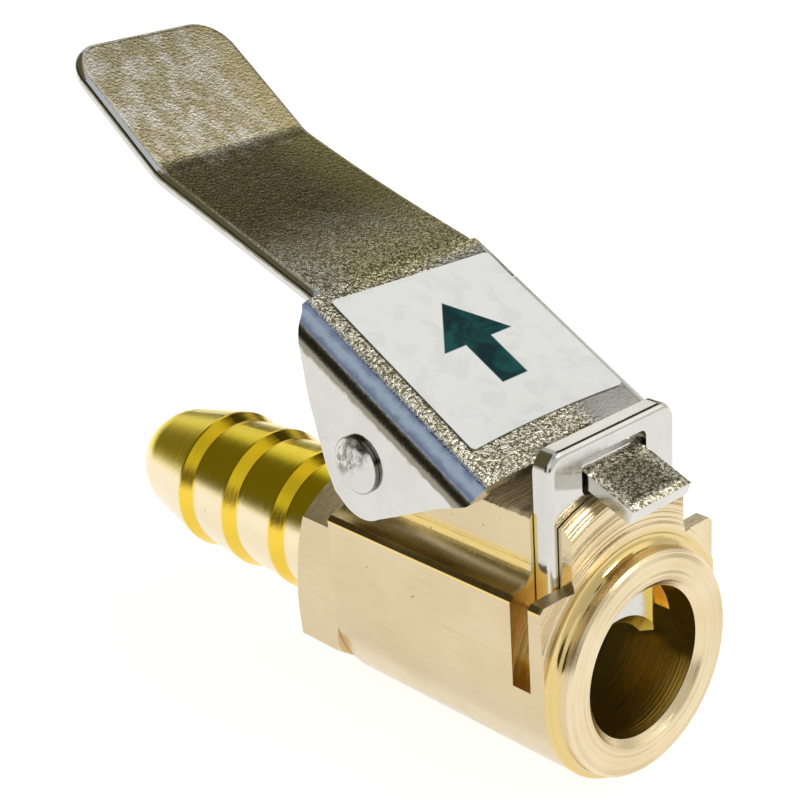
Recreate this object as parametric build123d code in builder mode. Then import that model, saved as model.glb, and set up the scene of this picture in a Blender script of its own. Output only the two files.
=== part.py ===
from build123d import *
import math
import os

os.makedirs("parts", exist_ok=True)

# ---------------------------------------------------------------- driving sizes (mm)
# frame: +Z up, mouth of the valve bore faces -Y, hose tail towards +Y,
# origin on the valve bore axis at the front face of the collar

# brass body
half_w = 6.50          # half width of the side flats and radius of the round belly
shoulder_z = 5.45      # height of the shoulders either side of the rail
shoulder_cham = 0.25
root_cove = 1.10       # cove between shoulder and rail
nose_r = 6.06          # turned collar round the mouth
nose_edge = 0.13
root_r = 6.61          # where the cove behind the collar meets the front face
groove_r = 7.15        # tool ring on the front face
face_y = 1.22          # front face of the body behind the collar
block_half = 4.19      # raised block in front of the slot
block_r = 9.58         # its turned crown
block_face_r = 9.22    # crown at the front face, in front of the chamfer
rail_half = 4.90       # rail behind the slot
rail_z = 9.25
hump_z = 12.05
slot_y0 = 2.04         # cross slot for the clamp plate
slot_y1 = 3.24
slot_z = 0.51
bar_y1 = 16.72         # rear face of the body

# bores
bore_r = 4.10          # valve bore
mouth_r = 4.51
relief_r = 4.32        # the bore is a little wider from the plate slot on
bore_end = 8.00
gasket_groove_r = 4.75
gasket_y0 = 6.00
port_r = 2.10
port_end = 9.00
chamber_r = 3.20
chamber_end = 13.00
thread_r = 4.50

# pivot
pin_y = 13.10
pin_z = 9.75
pin_r = 1.20
pin_hole_r = 1.24
head_r = 1.56
head_t = 0.56

# lever sheet
sheet = 0.75
lever_half = 7.00      # outside of the two ears
tongue_half = 2.15
arm_half = 5.34
pad_half = 5.50
bend_near = 1.90        # outside radius of the fold on the -X side
bend_far = 1.15
roll = 0.50             # rolled upper edge of the arm and pad
slope = math.atan(0.54)

# return spring of the lever
spring_y = 15.40
spring_seat_z = 10.60
spring_top_z = 14.86
spring_mean_r = 0.85
spring_wire_r = 0.16
spring_hole_r = 1.10

# clamp plate
plate_half = 4.65
plate_y0 = 2.09
plate_t = 1.10
plate_top = 12.45
plate_step_z = 3.60
jaw_half = 3.05
jaw_z = -0.15
jaw_arc_r = 2.90
jaw_arc_z = -1.77
window_half = 2.38
window_z0 = 9.62
window_z1 = 11.58

# hose tail
hex_flats = 12.20      # across flats
hex_turn = 24.2        # angle of one corner from +X
hex_y1 = 20.15
spigot_y0 = 13.10
tail_end = 39.95
tail_bore = 2.00


def across(y):
    """sketch plane square to the bore axis at distance y, local X = X, local Y = Z"""
    return Plane(origin=(0, y, 0), x_dir=(1, 0, 0), z_dir=(0, -1, 0))


side = Plane(origin=(0, 0, 0), x_dir=(0, 1, 0), z_dir=(1, 0, 0))


# ---------------------------------------------------------------- body
with BuildPart() as body:
    # U-shaped bar: round belly, flat sides, shoulders
    with BuildSketch(across(0)) as bar:
        Circle(half_w)
        with BuildLine():
            Polyline(
                (-half_w, 0), (half_w, 0), (half_w, shoulder_z - shoulder_cham),
                (half_w - shoulder_cham, shoulder_z), (-half_w + shoulder_cham, shoulder_z),
                (-half_w, shoulder_z - shoulder_cham), close=True)
        make_face()
    extrude(amount=-bar_y1)
    # raised block in front of the slot
    with BuildSketch(across(0)):
        with Locations((0, 4.9)):
            Rectangle(2 * block_half, 10.4)
    extrude(amount=-2.6)
    # nose turned down round the bore axis
    with BuildSketch(side):
        with BuildLine():
            Polyline(
                (0, 0), (0, nose_r - nose_edge), (nose_edge, nose_r), (0.46, nose_r))
            ThreePointArc((0.46, nose_r), (0.90, nose_r + 0.17), (1.08, root_r))
            Polyline(
                (1.08, root_r), (1.14, groove_r), (face_y, groove_r + 0.05), (face_y, block_face_r),
                (face_y + 0.42, block_r), (2.64, block_r), (2.64, 24), (40, 24), (40, 0), (0, 0))
        make_face()
    revolve(axis=Axis.Y, revolution_arc=360, mode=Mode.INTERSECT)
    # rail behind the slot, rising to carry the lever pin
    with BuildSketch(side):
        with BuildLine():
            Polyline(
                (2.6, 4.5), (2.6, rail_z), (6.9, rail_z), (11.5, hump_z), (bar_y1 - 0.3, hump_z),
                (bar_y1, hump_z - 0.3), (bar_y1, 4.5), (2.6, 4.5))
        make_face()
    extrude(amount=rail_half, both=True)
    rail_edges = body.edges().filter_by(lambda e: abs(abs(e.center().X) - rail_half) < 0.01
                                        and e.center().Z > rail_z - 0.05
                                        and e.bounding_box().size.X < 0.01
                                        and e.bounding_box().size.Y > 0.3)
    fillet(rail_edges, 0.28)
    root_edges = body.edges().filter_by(lambda e: abs(abs(e.center().X) - rail_half) < 0.01
                                        and abs(e.center().Z - shoulder_z) < 0.01
                                        and e.bounding_box().size.Y > 5)
    fillet(root_edges, root_cove)
    # rear edges eased
    rear_rim = body.edges().filter_by(lambda e: abs(e.bounding_box().min.Y - bar_y1) < 0.01
                                      and e.center().Z < shoulder_z + 0.01)
    chamfer(rear_rim, 0.12)
    # cross slot for the clamp plate
    with BuildSketch(side):
        with BuildLine():
            Polyline((slot_y0, slot_z), (slot_y1, slot_z), (slot_y1, 20), (slot_y0, 20), (slot_y0, slot_z))
        make_face()
    extrude(amount=10, both=True, mode=Mode.SUBTRACT)
    # valve bore, gasket groove, port, valve chamber, seat for the tail
    with BuildSketch(side):
        with BuildLine():
            Polyline(
                (-1, 0), (-1, mouth_r), (0, mouth_r), (0.20, mouth_r - 0.22), (0.36, bore_r), (slot_y0, bore_r),
                (slot_y0, relief_r), (gasket_y0, relief_r),
                (gasket_y0, gasket_groove_r), (bore_end, gasket_groove_r), (bore_end, port_r),
                (port_end, port_r), (port_end, chamber_r), (chamber_end, chamber_r),
                (chamber_end, thread_r), (bar_y1 - 0.30, thread_r), (bar_y1, thread_r + 0.30),
                (21, thread_r + 0.30), (21, 0), (-1, 0))
        make_face()
    revolve(axis=Axis.Y, revolution_arc=360, mode=Mode.SUBTRACT)
    # hole for the lever pin
    with BuildSketch(side):
        with Locations((pin_y, pin_z)):
            Circle(pin_hole_r)
    extrude(amount=10, both=True, mode=Mode.SUBTRACT)
    # pocket for the lever spring
    with BuildSketch(Plane.XY.offset(spring_seat_z)):
        with Locations((0, spring_y)):
            Circle(spring_hole_r)
    extrude(amount=6, mode=Mode.SUBTRACT)
body.part.label = "body"
export_step(body.part, "parts/body.step")

# ---------------------------------------------------------------- hose tail
with BuildPart() as hose_tail:
    # spanner hexagon with turned corners
    with BuildSketch(across(bar_y1)):
        RegularPolygon(radius=hex_flats / 2 / math.cos(math.radians(30)), side_count=6, rotation=hex_turn)
    extrude(amount=-(hex_y1 - bar_y1))
    with BuildSketch(side):
        with BuildLine():
            Polyline(
                (bar_y1, 0), (bar_y1, 6.86), (bar_y1 + 0.22, 7.10), (19.66, 7.10), (hex_y1, 6.20), (hex_y1, 0),
                (bar_y1, 0))
        make_face()
    revolve(axis=Axis.Y, revolution_arc=360, mode=Mode.INTERSECT)
    # screwed spigot with a seal groove in front, neck and three barbs behind
    with BuildSketch(side):
        with BuildLine():
            Polyline(
                (spigot_y0, 0), (spigot_y0, 4.15), (spigot_y0 + 0.3, 4.45), (15.45, 4.45), (15.45, 3.45), (16.60, 3.45),
                (16.60, 4.45), (19.90, 4.45), (20.30, 4.05), (24.05, 4.02), (24.90, 4.31), (25.08, 4.31),
                (28.40, 4.02), (29.22, 4.35), (29.40, 4.35), (32.62, 4.02), (33.44, 4.33), (33.62, 4.32),
                (37.30, 3.52))
            ThreePointArc((37.30, 3.52), (38.95, 2.92), (tail_end - 0.10, 2.18))
            Polyline((tail_end - 0.10, 2.18), (tail_end - 0.10, 0), (spigot_y0, 0))
        make_face()
    revolve(axis=Axis.Y, revolution_arc=360)
    # air way
    with BuildSketch(side):
        with BuildLine():
            Polyline((spigot_y0 - 1, 0), (spigot_y0 - 1, tail_bore), (41, tail_bore), (41, 0), (spigot_y0 - 1, 0))
        make_face()
    revolve(axis=Axis.Y, revolution_arc=360, mode=Mode.SUBTRACT)
hose_tail.part.label = "hose_tail"
export_step(hose_tail.part, "parts/hose_tail.step")

# ---------------------------------------------------------------- ring seal on the tail
with BuildPart() as tail_seal:
    with BuildSketch(side):
        with Locations((16.02, 3.97)):
            Circle(0.50)
    revolve(axis=Axis.Y, revolution_arc=360)
tail_seal.part.label = "tail_seal"
export_step(tail_seal.part, "parts/tail_seal.step")

# ---------------------------------------------------------------- rubber gasket for the tyre valve
with BuildPart() as valve_gasket:
    with BuildSketch(side):
        with BuildLine():
            Polyline(
                (gasket_y0 + 0.05, 2.25), (gasket_y0 + 0.05, gasket_groove_r - 0.05),
                (bore_end - 0.04, gasket_groove_r - 0.05), (bore_end - 0.04, 1.85),
                (gasket_y0 + 0.55, 1.85), (gasket_y0 + 0.05, 2.25))
        make_face()
    revolve(axis=Axis.Y, revolution_arc=360)
valve_gasket.part.label = "valve_gasket"
export_step(valve_gasket.part, "parts/valve_gasket.step")

# ---------------------------------------------------------------- core depressor with check head
head_y0 = 9.70
head_y1 = 10.60
with BuildPart() as core_depressor:
    with BuildSketch(side):
        with BuildLine():
            Polyline(
                (5.30, 0), (5.30, 0.85), (5.55, 1.10), (9.10, 1.10), (9.20, 1.98), (head_y0, 1.98),
                (head_y0, 2.78), (head_y1, 2.78), (head_y1, 1.45), (11.20, 1.45), (11.40, 1.25), (11.40, 0), (5.30, 0))
        make_face()
    revolve(axis=Axis.Y, revolution_arc=360)
    # two flats that let the air pass along the stem
    with BuildSketch(across(5.0)):
        with Locations((0, 1.55), (0, -1.55)):
            Rectangle(4, 1.3)
    extrude(amount=-4.05, mode=Mode.SUBTRACT)
core_depressor.part.label = "core_depressor"
export_step(core_depressor.part, "parts/core_depressor.step")

# ---------------------------------------------------------------- ring seal under the check head
with BuildPart() as check_seal:
    with BuildSketch(side):
        with Locations((9.345, 2.36)):
            Circle(0.33)
    revolve(axis=Axis.Y, revolution_arc=360)
check_seal.part.label = "check_seal"
export_step(check_seal.part, "parts/check_seal.step")

# ---------------------------------------------------------------- spring behind the check head
core_spring_r = 2.00
core_wire = 0.20
core_y0 = head_y1 + core_wire + 0.02
core_y1 = spigot_y0 - core_wire - 0.02
with BuildPart() as core_spring:
    with BuildLine() as core_coil:
        Helix(pitch=(core_y1 - core_y0) / 2.5, height=core_y1 - core_y0, radius=core_spring_r,
              center=(0, core_y0, 0), direction=(0, 1, 0))
    with BuildSketch(Plane(origin=core_coil.line @ 0, z_dir=core_coil.line % 0)):
        Circle(core_wire)
    sweep(path=core_coil.line, is_frenet=True)
core_spring.part.label = "core_spring"
export_step(core_spring.part, "parts/core_spring.step")

# ---------------------------------------------------------------- clamp plate
with BuildPart() as clamp_plate:
    with BuildSketch(across(plate_y0)) as plate_face:
        with BuildLine():
            Polyline(
                (-plate_half, plate_top), (plate_half, plate_top), (plate_half, plate_step_z),
                (jaw_half, plate_step_z), (jaw_half, jaw_z), (-jaw_half, jaw_z), (-jaw_half, plate_step_z),
                (-plate_half, plate_step_z), (-plate_half, plate_top))
        make_face()
        fillet(plate_face.vertices().filter_by(lambda v: abs(v.Y - plate_top) < 0.01), 1.05)
        fillet(plate_face.vertices().filter_by(lambda v: abs(v.Y - plate_step_z) < 0.01), 0.45)
        with Locations((0, jaw_arc_z)):
            Circle(jaw_arc_r, mode=Mode.SUBTRACT)
        with Locations((0, (window_z0 + window_z1) / 2)):
            RectangleRounded(2 * window_half, window_z1 - window_z0, 0.38, mode=Mode.SUBTRACT)
    extrude(amount=-plate_t)
    # rounded outer edge on the front
    front_rim = clamp_plate.edges().filter_by(
        lambda e: abs(e.center().Y - plate_y0) < 0.01 and abs(e.bounding_box().max.Y - plate_y0) < 0.01
        and (abs(abs(e.center().X) - plate_half) < 0.02 or abs(e.center().Z - plate_top) < 0.02
             or (e.center().Z > plate_top - 1.05 and abs(e.center().X) > window_half + 0.5)))
    fillet(front_rim, 0.36)
    # bevel that rides up on the valve stem
    with BuildSketch(side):
        with BuildLine():
            Polyline(
                (plate_y0 - 0.2, jaw_arc_z), (plate_y0 - 0.2, jaw_arc_z + jaw_arc_r + 0.85),
                (plate_y0, jaw_arc_z + jaw_arc_r + 0.62), (plate_y0 + 0.62, jaw_arc_z + jaw_arc_r),
                (plate_y0 + 0.62, jaw_arc_z), (plate_y0 - 0.2, jaw_arc_z))
        make_face()
    revolve(axis=Axis((0, 0, jaw_arc_z), (0, 1, 0)), revolution_arc=360, mode=Mode.SUBTRACT)
clamp_plate.part.label = "clamp_plate"
export_step(clamp_plate.part, "parts/clamp_plate.step")

# ---------------------------------------------------------------- lever
# bent strip: tongue, hinge part, arm and thumb pad, seen from the side
tip = (-0.92, 9.66)
crown = (2.40, 10.94)
neck = (4.30, 10.62)
front = (5.60, 7.98 + 0.54 * 5.60)
knee = (17.70, 7.98 + 0.54 * 17.70)
elbow = (30.17, 21.77)
pad_end = (39.30, 28.31)

with BuildPart() as lever_strip:
    with BuildSketch(side):
        with BuildLine():
            FilletPolyline(tip, crown, neck, front, radius=0.9)
            offset(amount=sheet, side=Side.RIGHT)
        make_face()
    extrude(amount=tongue_half, both=True)

with BuildPart() as lever_arm:
    with BuildSketch(side):
        with BuildLine():
            FilletPolyline((5.2, 7.98 + 0.54 * 5.2), knee, elbow, pad_end, radius=3.2)
            offset(amount=sheet, side=Side.RIGHT)
        make_face()
    extrude(amount=lever_half, both=True)
    # plan outline: flares into the channel, slightly narrower towards the pad
    with BuildSketch(Plane.XY) as pad_plan:
        with BuildLine():
            Polyline((-arm_half - 0.06, 16.90), (-arm_half - 0.06, 14.5), (6.30, 14.5), (6.30, 16.90))
            ThreePointArc((6.30, 16.90), (5.72, 22.50), (pad_half, 31.0))
            Polyline((pad_half, 31.0), (pad_half, 38.55), (-arm_half, 38.75), (-arm_half - 0.06, 16.90))
        make_face()
        fillet(pad_plan.vertices().sort_by(Axis.Y)[-2:], 2.1)
    extrude(amount=40, mode=Mode.INTERSECT)
    # rolled edges of the sheet along the arm and round the pad
    def rim(e):
        return e.center().Y > 17.9 and (abs(e.center().X) > 3 or e.center().Y > 37.3)

    def upper(e):
        y = e.center().Y
        z = elbow[1] + (y - elbow[0]) * ((pad_end[1] - elbow[1]) / (pad_end[0] - elbow[0]) if y > elbow[0]
                                        else (elbow[1] - knee[1]) / (elbow[0] - knee[0]))
        return e.center().Z > z - 0.42

    fillet(lever_arm.edges().filter_by(lambda e: rim(e) and upper(e)), roll)

channel_len = 14.2
chan_o = (0, 4.95, 7.98 + 0.54 * 4.95)
chan = Plane(origin=chan_o, x_dir=(1, 0, 0), z_dir=(0, -math.cos(slope), -math.sin(slope)))
with BuildPart() as lever_channel:
    with BuildSketch(chan) as chan_outer:
        with Locations((0, -6.5)):
            Rectangle(2 * lever_half, 13.0)
        fillet(chan_outer.vertices().filter_by(lambda v: abs(v.Y) < 0.01 and v.X > 0), bend_far)
        fillet(chan_outer.vertices().filter_by(lambda v: abs(v.Y) < 0.01 and v.X < -lever_half + 0.1), bend_near)
        with Locations((0, -7.0 - sheet)):
            Rectangle(2 * (lever_half - sheet), 14.0, mode=Mode.SUBTRACT)
        fillet(chan_outer.vertices().filter_by(lambda v: abs(v.Y + sheet) < 0.01 and v.X < 0), bend_near - sheet)
    extrude(amount=-channel_len)
    # outline of the ears from the side
    with BuildSketch(side) as ear_outline:
        with BuildLine():
            Polyline(
                (4.60, 11.6), (5.30, 9.85), (5.60, 9.66), (6.30, 9.45), (7.23, 9.12), (8.69, 8.46), (10.20, 7.74), (11.90, 6.98))
            ThreePointArc((11.90, 6.98), (13.05, 6.62), (14.30, 6.95))
            Polyline(
                (14.30, 6.95), (15.15, 7.62), (15.65, 8.70), (16.20, 10.60), (16.70, 12.50), (17.05, 14.90), (17.30, 16.35))
            ThreePointArc((17.30, 16.35), (17.55, 17.05), (18.10, 17.40))
            Polyline((18.10, 17.40), (17.50, 19.2), (4.60, 12.2), (4.60, 11.6))
        make_face()
    extrude(amount=12, both=True, mode=Mode.INTERSECT)

with BuildPart() as lever:
    add(lever_channel.part)
    add(lever_strip.part)
    add(lever_arm.part)
    # pin holes through the ears
    with BuildSketch(side):
        with Locations((pin_y, pin_z)):
            Circle(pin_hole_r)
    extrude(amount=10, both=True, mode=Mode.SUBTRACT)
lever.part.label = "lever"
export_step(lever.part, "parts/lever.step")

# ---------------------------------------------------------------- lever pin, riveted both ends
with BuildPart() as lever_pin:
    # shaft with a low domed head at each end
    head_x = lever_half + 0.03
    head_end = head_x + head_t
    dome = head_t - 0.20
    dome_r = (head_r ** 2 + dome ** 2) / (2 * dome)
    half_turn = math.asin(head_r / dome_r) / 2
    mid_x = head_end - dome_r * (1 - math.cos(half_turn))
    mid_r = dome_r * math.sin(half_turn)
    with BuildSketch(Plane(origin=(0, pin_y, pin_z), x_dir=(1, 0, 0), z_dir=(0, -1, 0))):
        with BuildLine():
            Polyline(
                (-head_x - 0.20, head_r), (-head_x, head_r), (-head_x, pin_r), (head_x, pin_r), (head_x, head_r),
                (head_x + 0.20, head_r))
            ThreePointArc((head_x + 0.20, head_r), (mid_x, mid_r), (head_end, 0))
            Line((head_end, 0), (-head_end, 0))
            ThreePointArc((-head_end, 0), (-mid_x, mid_r), (-head_x - 0.20, head_r))
        make_face()
    revolve(axis=Axis((0, pin_y, pin_z), (1, 0, 0)), revolution_arc=360)
lever_pin.part.label = "lever_pin"
export_step(lever_pin.part, "parts/lever_pin.step")

# ---------------------------------------------------------------- lever return spring
coil_z0 = spring_seat_z + spring_wire_r + 0.02
coil_z1 = spring_top_z - spring_wire_r
with BuildPart() as lever_spring:
    with BuildLine() as lever_coil:
        Helix(pitch=(coil_z1 - coil_z0) / 6.0, height=coil_z1 - coil_z0, radius=spring_mean_r,
              center=(0, spring_y, coil_z0), direction=(0, 0, 1))
    with BuildSketch(Plane(origin=lever_coil.line @ 0, z_dir=lever_coil.line % 0)):
        Circle(spring_wire_r)
    sweep(path=lever_coil.line, is_frenet=True)
lever_spring.part.label = "lever_spring"
export_step(lever_spring.part, "parts/lever_spring.step")

# ---------------------------------------------------------------- label stuck on the lever
label_t = 0.10
lab_y0 = 6.80
lab_corners = ((-5.06, 6.74), (5.91, 6.64), (5.93, 16.32), (-4.98, 16.78))
lab_bow = 0.20          # the front edge of the label is cut slightly hollow
lab_plane = Plane(origin=(0, lab_y0, 7.98 + 0.54 * lab_y0), x_dir=(1, 0, 0),
                  z_dir=(0, -math.sin(slope), math.cos(slope)))
with BuildPart() as label:
    with BuildSketch(lab_plane) as lab_face:
        with BuildLine():
            lab = [(x, (y - lab_y0) / math.cos(slope)) for x, y in lab_corners]
            Polyline(lab[1], lab[2], lab[3], lab[0])
            ThreePointArc(lab[0], (0.4, (lab[0][1] + lab[1][1]) / 2 + lab_bow), lab[1])
        make_face()
        fillet(lab_face.vertices(), 0.25)
    extrude(amount=label_t)
label.part.label = "label"
export_step(label.part, "parts/label.step")
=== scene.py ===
import math

import bpy
from mathutils import Matrix, Vector

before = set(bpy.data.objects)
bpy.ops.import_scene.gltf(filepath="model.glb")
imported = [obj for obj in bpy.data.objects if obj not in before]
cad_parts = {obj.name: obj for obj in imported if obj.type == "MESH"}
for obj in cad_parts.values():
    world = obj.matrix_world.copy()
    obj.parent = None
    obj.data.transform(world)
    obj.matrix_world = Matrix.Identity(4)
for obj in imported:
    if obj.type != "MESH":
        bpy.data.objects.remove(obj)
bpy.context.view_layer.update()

scene = bpy.context.scene
MM = 0.001


# ---------------------------------------------------------------- node helpers
class Graph:
    """short calls for building a node tree"""

    def __init__(self, tree):
        self.tree = tree
        tree.nodes.clear()

    def new(self, kind, **props):
        n = self.tree.nodes.new(kind)
        for k, v in props.items():
            setattr(n, k, v)
        return n

    def put(self, socket, value):
        if isinstance(value, bpy.types.NodeSocket):
            self.tree.links.new(value, socket)
        elif value is not None:
            socket.default_value = value

    def math(self, op, a, b=None, c=None, clamp=False):
        n = self.new("ShaderNodeMath", operation=op, use_clamp=clamp)
        for s, v in zip(n.inputs, (a, b, c)):
            self.put(s, v)
        return n.outputs[0]

    def vec(self, op, a, b=None):
        n = self.new("ShaderNodeVectorMath", operation=op)
        self.put(n.inputs[0], a)
        if b is not None:
            self.put(n.inputs[1], b)
        return n.outputs["Value"] if op in ("DOT_PRODUCT", "LENGTH", "DISTANCE") else n.outputs["Vector"]

    def split(self, v):
        n = self.new("ShaderNodeSeparateXYZ")
        self.put(n.inputs[0], v)
        return n.outputs[0], n.outputs[1], n.outputs[2]

    def join(self, x, y, z):
        n = self.new("ShaderNodeCombineXYZ")
        for s, v in zip(n.inputs, (x, y, z)):
            self.put(s, v)
        return n.outputs[0]

    def step(self, x, a, b):
        """0 at a, 1 at b, smooth between"""
        n = self.new("ShaderNodeMapRange", interpolation_type="SMOOTHSTEP")
        self.put(n.inputs["Value"], x)
        if a <= b:
            n.inputs["From Min"].default_value, n.inputs["From Max"].default_value = a, b
            n.inputs["To Min"].default_value, n.inputs["To Max"].default_value = 0, 1
        else:
            n.inputs["From Min"].default_value, n.inputs["From Max"].default_value = b, a
            n.inputs["To Min"].default_value, n.inputs["To Max"].default_value = 1, 0
        return n.outputs["Result"]

    def lerp(self, x, a, b, lo, hi):
        n = self.new("ShaderNodeMapRange")
        for s, v in zip(n.inputs, (x, a, b, lo, hi)):
            self.put(s, v)
        return n.outputs["Result"]

    def mix(self, f, a, b, blend="MIX"):
        n = self.new("ShaderNodeMix", data_type="RGBA", blend_type=blend)
        self.put(n.inputs["Factor"], f)
        ins = [s for s in n.inputs if s.type == "RGBA"]
        for s, v in zip(ins, (a, b)):
            self.put(s, (*v, 1.0) if isinstance(v, tuple) and len(v) == 3 else v)
        return [s for s in n.outputs if s.type == "RGBA"][0]

    def noise(self, v, scale, detail=3.0, rough=0.5, dist=0.0):
        n = self.new("ShaderNodeTexNoise")
        self.put(n.inputs["Vector"], v)
        n.inputs["Scale"].default_value = scale
        n.inputs["Detail"].default_value = detail
        n.inputs["Roughness"].default_value = rough
        n.inputs["Distortion"].default_value = dist
        return n.outputs[0]

    def cells(self, v, scale, feature="F1", out="Distance"):
        n = self.new("ShaderNodeTexVoronoi", feature=feature)
        self.put(n.inputs["Vector"], v)
        n.inputs["Scale"].default_value = scale
        return n.outputs[out]

    def bump(self, h, dist, strength=1.0, normal=None):
        n = self.new("ShaderNodeBump")
        n.inputs["Strength"].default_value = strength
        n.inputs["Distance"].default_value = dist
        self.put(n.inputs["Height"], h)
        if normal is not None:
            self.put(n.inputs["Normal"], normal)
        return n.outputs["Normal"]


def within_of(g):
    """band mask of one graph: 1 between lo and hi"""
    def within(v, lo, hi, soft=0.06):
        return g.math("MULTIPLY", g.step(v, lo - soft, lo + soft), g.step(v, hi + soft, hi - soft))
    return within


def material(name):
    m = bpy.data.materials.new(name)
    m.use_nodes = True
    g = Graph(m.node_tree)
    out = g.new("ShaderNodeOutputMaterial")
    bsdf = g.new("ShaderNodeBsdfPrincipled")
    m.node_tree.links.new(bsdf.outputs[0], out.inputs["Surface"])
    coords = g.new("ShaderNodeTexCoord")
    return m, g, bsdf, coords.outputs["Object"], coords.outputs["Normal"]


# ---------------------------------------------------------------- brass
def brass(name, tail=False):
    m, g, b, p, nrm = material(name)
    within = within_of(g)
    mm = g.vec("SCALE", p)
    g.put(mm.node.inputs["Scale"], 1000.0)
    x, y, z = g.split(mm)
    nx, ny, nz = g.split(nrm)
    ax = g.math("ABSOLUTE", x)
    r = g.math("SQRT", g.math("ADD", g.math("MULTIPLY", x, x), g.math("MULTIPLY", z, z)))
    facing = g.step(g.math("ABSOLUTE", ny), 0.75, 0.95)           # faces square to the bore
    flat = g.step(g.math("ABSOLUTE", nx), 0.90, 0.985)            # side flats
    blot = g.noise(mm, 0.28, 2.0, 0.5)
    fine = g.noise(mm, 5.0, 4.0, 0.65)

    # lathe marks: rings on end faces, hoops on turned cylinders, faint drag marks on the flats
    rings = g.noise(g.join(g.math("MULTIPLY", r, 7.0), g.math("MULTIPLY", y, 0.2), 0.3), 1.0, 5.0, 0.75)
    hoops = g.noise(g.join(g.math("MULTIPLY", y, 9.0), g.math("MULTIPLY", r, 0.3), 5.1), 1.0, 5.0, 0.75)
    drag = g.noise(g.join(g.math("MULTIPLY", x, 3.0), g.math("MULTIPLY", y, 0.35), g.math("MULTIPLY", z, 5.5)), 1.0, 4.0, 0.6)
    marks = g.math("ADD", g.math("MULTIPLY", rings, facing), g.math("MULTIPLY", hoops, g.math("SUBTRACT", 1.0, facing)))
    milled = g.math("ADD", g.math("MULTIPLY", drag, flat), g.math("MULTIPLY", marks, g.math("SUBTRACT", 1.0, flat)))
    # single deeper tool lines, broken up round the circle
    broken = g.math("MULTIPLY", g.step(g.noise(mm, 0.12, 2.0, 0.5), 0.40, 0.60), g.math("ADD", 0.35, g.math("MULTIPLY", g.step(z, 1.0, 3.5), 0.65)))
    ring_n = g.noise(g.join(g.math("MULTIPLY", r, 3.6), 0.4, 2.2), 1.0, 3.0, 0.6)
    line = g.math("MULTIPLY", g.step(g.math("ABSOLUTE", g.math("SUBTRACT", ring_n, 0.5)), 0.030, 0.010),
                  g.math("MULTIPLY", broken, facing))
    crown = g.math("MULTIPLY", g.step(r, 8.9, 9.3), g.math("SUBTRACT", 1.0, flat))
    hoop_n = g.noise(g.join(g.math("MULTIPLY", y, 6.0), 0.9, 4.2), 1.0, 3.0, 0.6)
    line = g.math("MAXIMUM", line, g.math("MULTIPLY", crown, g.step(g.math("ABSOLUTE", g.math("SUBTRACT", hoop_n, 0.5)), 0.040, 0.015)))
    # few small pits and nicks
    pit = g.step(g.noise(g.join(g.math("MULTIPLY", x, 2.0), y, g.math("MULTIPLY", z, 0.7)), 2.6, 2.0, 0.5, 0.4), 0.765, 0.785)

    light, deep = (0.775, 0.645, 0.43), (0.71, 0.575, 0.355)
    tone = g.mix(g.step(blot, 0.30, 0.70), light, deep)
    tone = g.mix(g.math("MULTIPLY", flat, 0.5), tone, (0.58, 0.475, 0.305))
    if tail:
        barbs = g.step(y, 20.0, 20.4)
        tone = g.mix(barbs, tone, (0.88, 0.75, 0.51))
        # painted reflection: the upper side and the steep faces of the barbs are painted yellow for the light the barbs
        # throw on each other
        barb_top_painted_reflection = g.math("MULTIPLY", barbs, g.step(nz, 0.25, 0.62))
        tone = g.mix(barb_top_painted_reflection, tone, (0.96, 0.74, 0.02))
        barb_step_painted_reflection = g.math("ADD", within(y, 23.85, 25.0, 0.12), g.math("ADD", within(y, 28.2, 29.32, 0.12), within(y, 32.42, 33.54, 0.12)))
        tone = g.mix(g.math("MULTIPLY", barb_step_painted_reflection, 0.9), tone, (0.87, 0.58, 0.02))
    streak = g.math("MULTIPLY", g.step(milled, 0.52, 0.66), g.math("SUBTRACT", 0.24, g.math("MULTIPLY", flat, 0.15)))
    if tail:
        streak = g.math("MULTIPLY", streak, g.math("SUBTRACT", 1.0, g.math("MULTIPLY", barbs, 0.85)))
    tone = g.mix(streak, tone, (0.48, 0.34, 0.13))
    if not tail:
        # painted reflection: deeper gold painted where brass faces brass and reflects it: plate slot, cove behind the
        # collar, root of the rail
        slot_painted_reflection = g.math("MULTIPLY", within(y, 2.0, 3.30, 0.02), g.math("MULTIPLY", g.step(z, 0.2, 0.45), g.step(ax, 4.2, 4.4)))
        tone = g.mix(g.math("MULTIPLY", slot_painted_reflection, g.step(g.math("ABSOLUTE", nx), 0.7, 0.4)), tone, g.mix(g.step(z, 5.8, 5.2), (0.90, 0.70, 0.26), (0.84, 0.58, 0.18)))
        cove = g.math("MULTIPLY", within(y, 0.50, 1.12, 0.10), g.math("MULTIPLY", g.step(r, 5.9, 6.0), g.step(r, 7.0, 6.8)))
        tone = g.mix(g.math("MULTIPLY", cove, 0.8), tone, (0.70, 0.52, 0.19))
        root_painted_reflection = g.math("MULTIPLY", g.step(y, 3.3, 3.5), g.math("MULTIPLY", within(z, 5.85, 6.9, 0.20), g.step(ax, 6.45, 6.25)))
        tone = g.mix(g.math("MULTIPLY", root_painted_reflection, 0.75), tone, (0.80, 0.58, 0.17))
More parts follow.
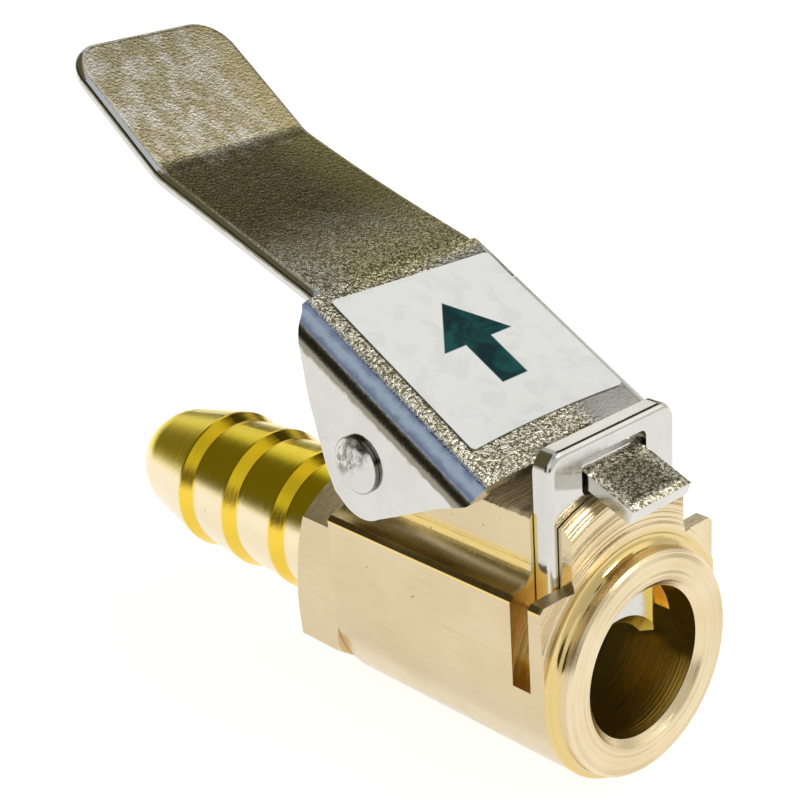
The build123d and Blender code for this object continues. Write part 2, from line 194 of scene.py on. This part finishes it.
        # painted shade: the shoulders are painted dark for the shade and dark reflections under the lever; a painted
        # dark line above a painted highlight line runs along their outer edge
        shoulder_painted_shade = g.math("MULTIPLY", g.step(y, 3.3, 3.5), g.math("MULTIPLY", g.step(nz, 0.55, 0.85), g.step(z, 5.75, 5.55)))
        tone = g.mix(g.math("MULTIPLY", shoulder_painted_shade, 0.75), tone, (0.34, 0.24, 0.05))
        rim_painted_lines = g.math("MULTIPLY", g.step(ax, 6.2, 6.3), g.step(y, 1.3, 1.5))
        tone = g.mix(g.math("MULTIPLY", rim_painted_lines, g.math("MULTIPLY", within(z, 5.19, 5.46, 0.02), 0.75)), tone, (0.20, 0.13, 0.03))
        tone = g.mix(g.math("MULTIPLY", rim_painted_lines, g.math("MULTIPLY", within(z, 5.06, 5.17, 0.02), 0.8)), tone, (0.86, 0.62, 0.16))
        # painted reflection: the inside of the bore is painted bright gold for the light it catches through its mouth
        bore_painted_reflection = g.math("MULTIPLY", g.step(r, 5.0, 4.6), g.step(y, 0.3, 0.6))
        tone = g.mix(g.math("MULTIPLY", bore_painted_reflection, 0.85), tone, (1.0, 0.74, 0.12))
    tone = g.mix(g.math("MULTIPLY", line, 0.70), tone, (0.33, 0.235, 0.07))
    tone = g.mix(g.math("MULTIPLY", pit, 0.70), tone, (0.20, 0.12, 0.04))
    g.put(b.inputs["Base Color"], tone)
    b.inputs["Metallic"].default_value = 1.0
    wear = g.math("ADD", g.math("MULTIPLY", milled, 0.6), g.math("MULTIPLY", fine, 0.4))
    rough = g.lerp(wear, 0.3, 0.7, 0.10, 0.22 if tail else 0.26)
    calm = g.math("SUBTRACT", 1.0, g.math("MULTIPLY", flat, 0.60))
    if not tail:
        rough = g.math("MULTIPLY", rough, g.math("SUBTRACT", 1.0, g.math("MULTIPLY", cove, 0.6)))
        calm = g.math("MULTIPLY", calm, g.math("SUBTRACT", 1.0, cove))
    g.put(b.inputs["Roughness"], rough)
    if tail:
        calm = g.math("MULTIPLY", calm, g.math("SUBTRACT", 1.0, g.math("MULTIPLY", barbs, 0.6)))
    n1 = g.bump(g.math("MULTIPLY", milled, calm), 0.000042, 0.55)
    n2 = g.bump(fine, 0.00001, 0.4, n1)
    g.put(b.inputs["Normal"], g.bump(g.math("MULTIPLY", g.math("MAXIMUM", pit, line), -1.0), 0.00003, 0.7, n2))
    return m


# ---------------------------------------------------------------- plated steel
def nickel(name, pebbled=False, riveted=False):
    m, g, b, p, nrm = material(name)
    within = within_of(g)
    mm = g.vec("SCALE", p)
    g.put(mm.node.inputs["Scale"], 1000.0)
    x, y, z = g.split(mm)
    nx, ny, nz = g.split(nrm)
    blot = g.noise(mm, 0.5, 3.0, 0.55)
    fine = g.noise(mm, 7.0, 3.0, 0.6)
    scuff = g.step(g.noise(g.join(g.math("MULTIPLY", x, 6.0), g.math("MULTIPLY", y, 0.8), g.math("MULTIPLY", z, 3.0)), 1.0, 4.0, 0.6, 0.6), 0.62, 0.70)
    tone = g.mix(g.step(blot, 0.3, 0.7), (0.665, 0.655, 0.615), (0.615, 0.60, 0.555))
    tone = g.mix(g.math("MULTIPLY", scuff, 0.14), tone, (0.42, 0.41, 0.38))
    rough = g.lerp(fine, 0.3, 0.7, 0.08, 0.19)
    height = g.math("MULTIPLY", g.math("ADD", g.math("MULTIPLY", fine, 0.4), blot), 0.18)
    if pebbled:
        # the upper face of the strip keeps the pebbled skin of the plating, folds and ears are glossy
        up = g.math("ADD", g.math("MULTIPLY", nz, 0.88), g.math("MULTIPLY", ny, -0.47))
        ragged = g.math("ADD", up, g.math("MULTIPLY", g.math("SUBTRACT", fine, 0.5), 0.16))
        skin = g.step(ragged, 0.885, 0.945)
        grain = g.noise(mm, 5.5, 2.0, 0.6)
        speck = g.noise(mm, 12.0, 2.0, 0.6)
        cell = g.cells(mm, 5.0)
        cloud = g.noise(g.join(g.math("MULTIPLY", x, 1.3), g.math("MULTIPLY", y, 0.8), z), 0.8, 3.0, 0.6)
        # worn smooth at the right of the front lip and along the right of the label
        worn = g.math("MULTIPLY", g.step(x, 1.6, 3.2), g.math("MULTIPLY", g.step(y, 17.5, 16.0), g.step(y, 3.8, 4.6)))
        skin = g.math("MULTIPLY", skin, g.math("SUBTRACT", 1.0, worn))
        # crisp grains round the label, softer ones up the arm, cloudy on the thumb pad
        crisp = g.step(y, 23.5, 17.5)
        mix_n = g.math("ADD", g.math("MULTIPLY", grain, 0.6), g.math("MULTIPLY", speck, 0.4))
        soft_shade = g.mix(g.step(mix_n, 0.34, 0.66), (0.44, 0.37, 0.205), (0.74, 0.655, 0.44))
        soft_shade = g.mix(g.step(cloud, 0.42, 0.66), soft_shade, (0.86, 0.81, 0.69))
        soft_shade = g.mix(g.math("MULTIPLY", g.step(x, 1.5, 4.8), 0.6), soft_shade, (0.66, 0.55, 0.27))
        hard_shade = g.mix(g.step(mix_n, 0.44, 0.56), (0.20, 0.175, 0.095), (0.93, 0.89, 0.74))
        olive = g.math("MULTIPLY", g.step(y, 16.4, 17.4), g.step(x, -4.4, -1.5))
        hard_shade = g.mix(g.math("MULTIPLY", olive, 0.75), hard_shade, g.mix(g.step(mix_n, 0.42, 0.60), (0.22, 0.18, 0.05), (0.95, 0.86, 0.42)))
        shade = g.mix(crisp, soft_shade, hard_shade)
        # painted shade: the arm is painted dark up to the bend of the elbow for the dark field it reflects, lighter
        # olive towards its right side
        wavy = g.math("ADD", y, g.math("ADD", g.math("MULTIPLY", grain, 1.2), g.math("MULTIPLY", cloud, 2.2)))
        elbow_painted_shade = g.math("MULTIPLY", g.step(y, 18.5, 24.5), g.step(wavy, 32.6, 30.9))
        dark_shade = g.mix(g.step(mix_n, 0.40, 0.64), (0.13, 0.10, 0.022), (0.25, 0.205, 0.065))
        dark_shade = g.mix(g.math("MULTIPLY", g.step(x, 0.5, 5.2), 0.6), dark_shade, (0.56, 0.50, 0.16))
        shade = g.mix(g.math("MULTIPLY", elbow_painted_shade, 0.92), shade, dark_shade)
        # painted shade: the tongue is painted darker in its middle, where it reflects the dark field
        tongue_painted_shade = g.math("MULTIPLY", g.step(y, 2.2, 1.6), g.math("MULTIPLY", g.step(g.math("ABSOLUTE", x), 1.75, 1.1), g.step(y, -0.60, -0.1)))
        shade = g.mix(g.math("MULTIPLY", tongue_painted_shade, 0.85), shade, g.mix(g.step(mix_n, 0.42, 0.60), (0.08, 0.075, 0.045), (0.44, 0.41, 0.29)))
        tone = g.mix(skin, tone, shade)
        # painted shade: the lower half of the near fold is painted dark for the dark room it reflects
        drift = g.math("ADD", up, g.math("MULTIPLY", g.math("SUBTRACT", g.noise(mm, 1.6, 3.0, 0.6), 0.5), 0.22))
        fold_painted_shade = g.math("MULTIPLY", g.step(nx, -0.45, -0.65), g.math("MULTIPLY", g.step(drift, 0.05, 0.16), g.step(drift, 0.55, 0.47)))
        tone = g.mix(g.math("MULTIPLY", fold_painted_shade, 0.8), tone, (0.19, 0.17, 0.11))
        # painted reflection: cool blue along the middle of that fold for the cool light above it, strongest at its two
        # borders
        fold_painted_cool = g.math("MULTIPLY", g.math("MULTIPLY", g.step(x, -4.9, -5.3), g.step(y, 18.2, 17.6)), within(up, 0.57, 0.91, 0.03))
        middle = g.step(g.math("ABSOLUTE", g.math("SUBTRACT", drift, 0.76)), 0.16, 0.02)
        tone = g.mix(g.math("MULTIPLY", fold_painted_cool, 0.9), tone, g.mix(middle, (0.17, 0.22, 0.33), (0.42, 0.49, 0.58)))
        rough = g.math("ADD", g.math("MULTIPLY", rough, g.math("SUBTRACT", 1.0, skin)), g.math("MULTIPLY", skin, g.lerp(speck, 0.3, 0.7, 0.18, 0.34)))
        rough_skin = g.math("ADD", g.math("MULTIPLY", grain, 0.9), g.math("ADD", g.math("MULTIPLY", cell, 0.35), g.math("MULTIPLY", speck, 0.35)))
        depth = g.math("MULTIPLY", skin, g.math("ADD", 0.55, g.math("MULTIPLY", crisp, 0.45)))
        height = g.math("ADD", height, g.math("MULTIPLY", rough_skin, depth))
        # borders of the tongue are rolled over
        tx = g.math("DIVIDE", g.math("SUBTRACT", g.math("ABSOLUTE", x), 1.62), 0.50, clamp=True)
        ty = g.math("DIVIDE", g.math("SUBTRACT", -0.45, y), 0.45, clamp=True)
        over = g.math("ADD", g.math("MULTIPLY", tx, tx), g.math("MULTIPLY", ty, ty))
        over = g.math("MULTIPLY", over, g.math("MULTIPLY", g.step(y, 2.0, 1.7), g.step(nz, 0.5, 0.6)))
        height = g.math("SUBTRACT", height, g.math("MULTIPLY", over, 4.0))
        g.put(b.inputs["Normal"], g.bump(height, 0.00006, 0.75))
    else:
        if riveted:
            # hammered skin on the heads; painted shade: the upper side of each head is mottled dark for the dark it
            # reflects, and a dark ring is painted where a head meets the ear
            dy, dz = g.math("SUBTRACT", y, 13.10), g.math("SUBTRACT", z, 9.75)
            rad = g.math("SQRT", g.math("ADD", g.math("MULTIPLY", dy, dy), g.math("MULTIPLY", dz, dz)))
            lean = g.math("ADD", g.math("MULTIPLY", dy, 0.55), g.math("MULTIPLY", dz, 0.80))
            dent = g.noise(mm, 2.4, 3.0, 0.65, 0.4)
            head_painted_shade = g.math("MULTIPLY", g.step(lean, -0.55, 0.25), g.math("MULTIPLY", g.step(rad, 1.38, 1.20), g.step(dent, 0.40, 0.58)))
            tone = g.mix(g.math("MULTIPLY", head_painted_shade, 0.85), tone, (0.17, 0.16, 0.13))
            tone = g.mix(g.math("MULTIPLY", g.step(rad, 1.48, 1.54), 0.85), tone, (0.10, 0.095, 0.08))
            height = g.math("ADD", height, g.math("MULTIPLY", dent, 0.5))
        g.put(b.inputs["Normal"], g.bump(height, 0.00004, 0.5))
    g.put(b.inputs["Base Color"], tone)
    b.inputs["Metallic"].default_value = 1.0
    g.put(b.inputs["Roughness"], rough)
    return m


def wire(name):
    m, g, b, p, nrm = material(name)
    n = g.noise(p, 3000.0, 3.0, 0.6)
    g.put(b.inputs["Base Color"], g.mix(n, (0.42, 0.41, 0.39), (0.66, 0.65, 0.62)))
    b.inputs["Metallic"].default_value = 1.0
    g.put(b.inputs["Roughness"], g.lerp(n, 0.3, 0.7, 0.2, 0.38))
    g.put(b.inputs["Normal"], g.bump(n, 0.00001, 0.5))
    return m


def nitrile(name):
    m, g, b, p, nrm = material(name)
    n = g.noise(p, 1800.0, 4.0, 0.6)
    g.put(b.inputs["Base Color"], g.mix(n, (0.012, 0.012, 0.013), (0.035, 0.034, 0.033)))
    g.put(b.inputs["Roughness"], g.lerp(n, 0.3, 0.7, 0.45, 0.68))
    g.put(b.inputs["Normal"], g.bump(n, 0.00003, 0.6))
    return m


# ---------------------------------------------------------------- label with a plain pointer
def label_film(name):
    m, g, b, p, nrm = material(name)
    mm = g.vec("SCALE", p)
    g.put(mm.node.inputs["Scale"], 1000.0)
    x, y, z = g.split(mm)
    nx, ny, nz = g.split(nrm)
    u = g.math("SUBTRACT", x, 0.62)
    w = g.math("MULTIPLY", g.math("SUBTRACT", y, 11.65), 1.1365)
    au = g.math("ABSOLUTE", u)
    edge = 0.05
    head = g.math("MULTIPLY",
                  g.step(g.math("SUBTRACT", g.math("MULTIPLY", g.math("SUBTRACT", 3.15, w), 0.82), au), -edge, edge),
                  g.step(w, 0.15 - edge, 0.15 + edge))
    stem = g.math("MULTIPLY", g.step(au, 0.92 + edge, 0.92 - edge),
                  g.math("MULTIPLY", g.step(w, -2.75 - edge, -2.75 + edge), g.step(w, 0.4, 0.3)))
    mark = g.math("MULTIPLY", g.math("MAXIMUM", head, stem), g.step(nz, 0.5, 0.7))
    mottle = g.noise(mm, 0.75, 4.0, 0.6, 0.5)
    fine = g.noise(mm, 6.0, 3.0, 0.6)
    film = g.mix(g.math("MULTIPLY", g.step(mottle, 0.46, 0.64), 0.30), (0.86, 0.865, 0.845), (0.64, 0.66, 0.63))
    # painted shade: the cut edge of the film is painted dark, except where it faces +x
    film = g.mix(g.math("MULTIPLY", g.math("MULTIPLY", g.step(nz, 0.45, 0.25), g.step(nx, 0.5, 0.2)), 0.9), film, (0.07, 0.07, 0.06))
    ink = g.mix(g.step(mottle, 0.35, 0.65), (0.001, 0.022, 0.026), (0.006, 0.075, 0.072))
    g.put(b.inputs["Specular IOR Level"], g.math("SUBTRACT", 0.5, g.math("MULTIPLY", mark, 0.36)))
    g.put(b.inputs["Base Color"], g.mix(mark, film, ink))
    g.put(b.inputs["Roughness"], g.lerp(fine, 0.3, 0.7, 0.32, 0.46))
    g.put(b.inputs["Normal"], g.bump(g.math("ADD", g.math("MULTIPLY", fine, 0.4), mottle), 0.00002, 0.4))
    return m


mats = {
    "body": brass("body_brass"),
    "hose_tail": brass("tail_brass", tail=True),
    "clamp_plate": nickel("plate_nickel"),
    "lever": nickel("lever_nickel", pebbled=True),
    "lever_pin": nickel("pin_nickel", riveted=True),
    "label": label_film("label_film"),
    "valve_gasket": nitrile("gasket_rubber"),
    "lever_spring": wire("spring_wire"),
}
mats["core_depressor"] = mats["hose_tail"]
mats["tail_seal"] = mats["check_seal"] = mats["valve_gasket"]
mats["core_spring"] = mats["lever_spring"]
for name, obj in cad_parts.items():
    if not obj.material_slots:
        obj.data.materials.append(mats[name])
    for s in obj.material_slots:
        s.material = mats[name]


# ---------------------------------------------------------------- floor
def make_floor():
    size, z = 1.5, -0.00703
    mesh = bpy.data.meshes.new("floor")
    mesh.from_pydata([(-size, -size, z), (size, -size, z), (size, size, z), (-size, size, z)], [], [(0, 1, 2, 3)])
    floor = bpy.data.objects.new("floor", mesh)
    scene.collection.objects.link(floor)
    m, g, b, p, nrm = material("floor_paper")
    n = g.noise(p, 40.0, 3.0, 0.5)
    g.put(b.inputs["Base Color"], g.mix(n, (0.49, 0.49, 0.49), (0.52, 0.52, 0.52)))
    b.inputs["Roughness"].default_value = 0.9
    b.inputs["Specular IOR Level"].default_value = 0.0
    b.inputs["Emission Color"].default_value = (1, 1, 1, 1)
    b.inputs["Emission Strength"].default_value = 0.78
    mesh.materials.append(m)


make_floor()


# ---------------------------------------------------------------- studio: one soft surround with dark and bright fields
def make_world():
    world = bpy.data.worlds.new("studio")
    scene.world = world
    world.use_nodes = True
    g = Graph(world.node_tree)
    out = g.new("ShaderNodeOutputWorld")
    back = g.new("ShaderNodeBackground")
    world.node_tree.links.new(back.outputs[0], out.inputs["Surface"])
    d = g.vec("NORMALIZE", g.new("ShaderNodeTexCoord").outputs["Generated"])
    x, y, z = g.split(d)

    def lobe(direction, inner, outer):
        v = Vector(direction).normalized()
        return g.step(g.vec("DOT_PRODUCT", d, tuple(v)), math.cos(math.radians(outer)), math.cos(math.radians(inner)))

    c = g.mix(g.step(z, 0.0, 0.9), (0.80, 0.80, 0.78), (0.66, 0.66, 0.66))
    # bright softbox up to the right, in front
    c = g.mix(lobe((0.62, -0.42, 0.70), 15, 30), c, (1.28, 1.25, 1.16))
    # dark field high behind and to the right of the object
    c = g.mix(lobe((0.62, 0.32, 0.71), 12, 24), c, (0.03, 0.03, 0.025))
    # dark warm room behind and to the left
    c = g.mix(lobe((-0.35, 0.70, 0.55), 30, 41), c, (0.13, 0.118, 0.058))
    c = g.mix(lobe((-0.91, 0.32, 0.24), 13, 20), c, (0.05, 0.045, 0.03))
    # low dark corners behind, on the right
    c = g.mix(lobe((0.66, 0.74, 0.05), 12, 20), c, (0.11, 0.10, 0.06))
    c = g.mix(lobe((0.85, 0.50, 0.18), 6, 11), c, (0.11, 0.10, 0.06))
    # pale wall between them and the dark field
    c = g.mix(lobe((0.61, 0.66, 0.44), 8, 14), c, (1.15, 1.13, 1.06))
    # dark corner behind the camera
    c = g.mix(lobe((-0.68, -0.70, 0.10), 8, 20), c, (0.06, 0.05, 0.03))
    # white wall in front on the left, cooler light above it
    c = g.mix(lobe((-0.76, -0.30, 0.57), 14, 20), c, (1.02, 1.0, 0.95))
    for towards in ((-0.30, -0.09, 0.95), (-0.584, -0.015, 0.812), (-0.795, 0.10, 0.598)):
        c = g.mix(lobe(towards, 8, 13), c, (0.66, 0.70, 0.76))
    c = g.mix(lobe((-0.13, -0.11, 0.985), 4, 8), c, (0.05, 0.055, 0.06))
    g.put(back.inputs["Color"], c)
    back.inputs["Strength"].default_value = 1.0


make_world()


def area(name, where, at, size, power, color=(1, 1, 1), size_y=None):
    data = bpy.data.lights.new(name, "AREA")
    data.energy, data.size, data.color = power, size, color
    if size_y:
        data.shape, data.size_y = "RECTANGLE", size_y
    o = bpy.data.objects.new(name, data)
    o.location = where
    o.rotation_mode = "QUATERNION"
    o.rotation_quaternion = (Vector(at) - Vector(where)).to_track_quat("-Z", "Y")
    scene.collection.objects.link(o)


area("key", (0.10, -0.20, 0.32), (0, 0.01, 0.01), 0.10, 0.28)


# ---------------------------------------------------------------- camera fitted to the photograph
def make_camera():
    data = bpy.data.cameras.new("camera")
    data.sensor_width, data.lens = 36.0, 84.035
    data.dof.use_dof = False
    data.clip_start, data.clip_end = 0.005, 20.0
    cam = bpy.data.objects.new("camera", data)
    scene.collection.objects.link(cam)
    az, el, roll = math.radians(-41.643), math.radians(23.196), math.radians(-3.762)
    back = Vector((math.sin(az) * math.cos(el), -math.cos(az) * math.cos(el), math.sin(el)))
    right = (-back).cross(Vector((0, 0, 1))).normalized()
    up = right.cross(-back)
    r2 = math.cos(roll) * right + math.sin(roll) * up
    u2 = -math.sin(roll) * right + math.cos(roll) * up
    m = Matrix((r2, u2, back)).transposed().to_4x4()
    m.translation = Vector((-62.27, -52.53, 49.88)) * MM
    cam.matrix_world = m
    scene.camera = cam


make_camera()
scene.view_settings.view_transform = "Standard"
scene.view_settings.look = "None"
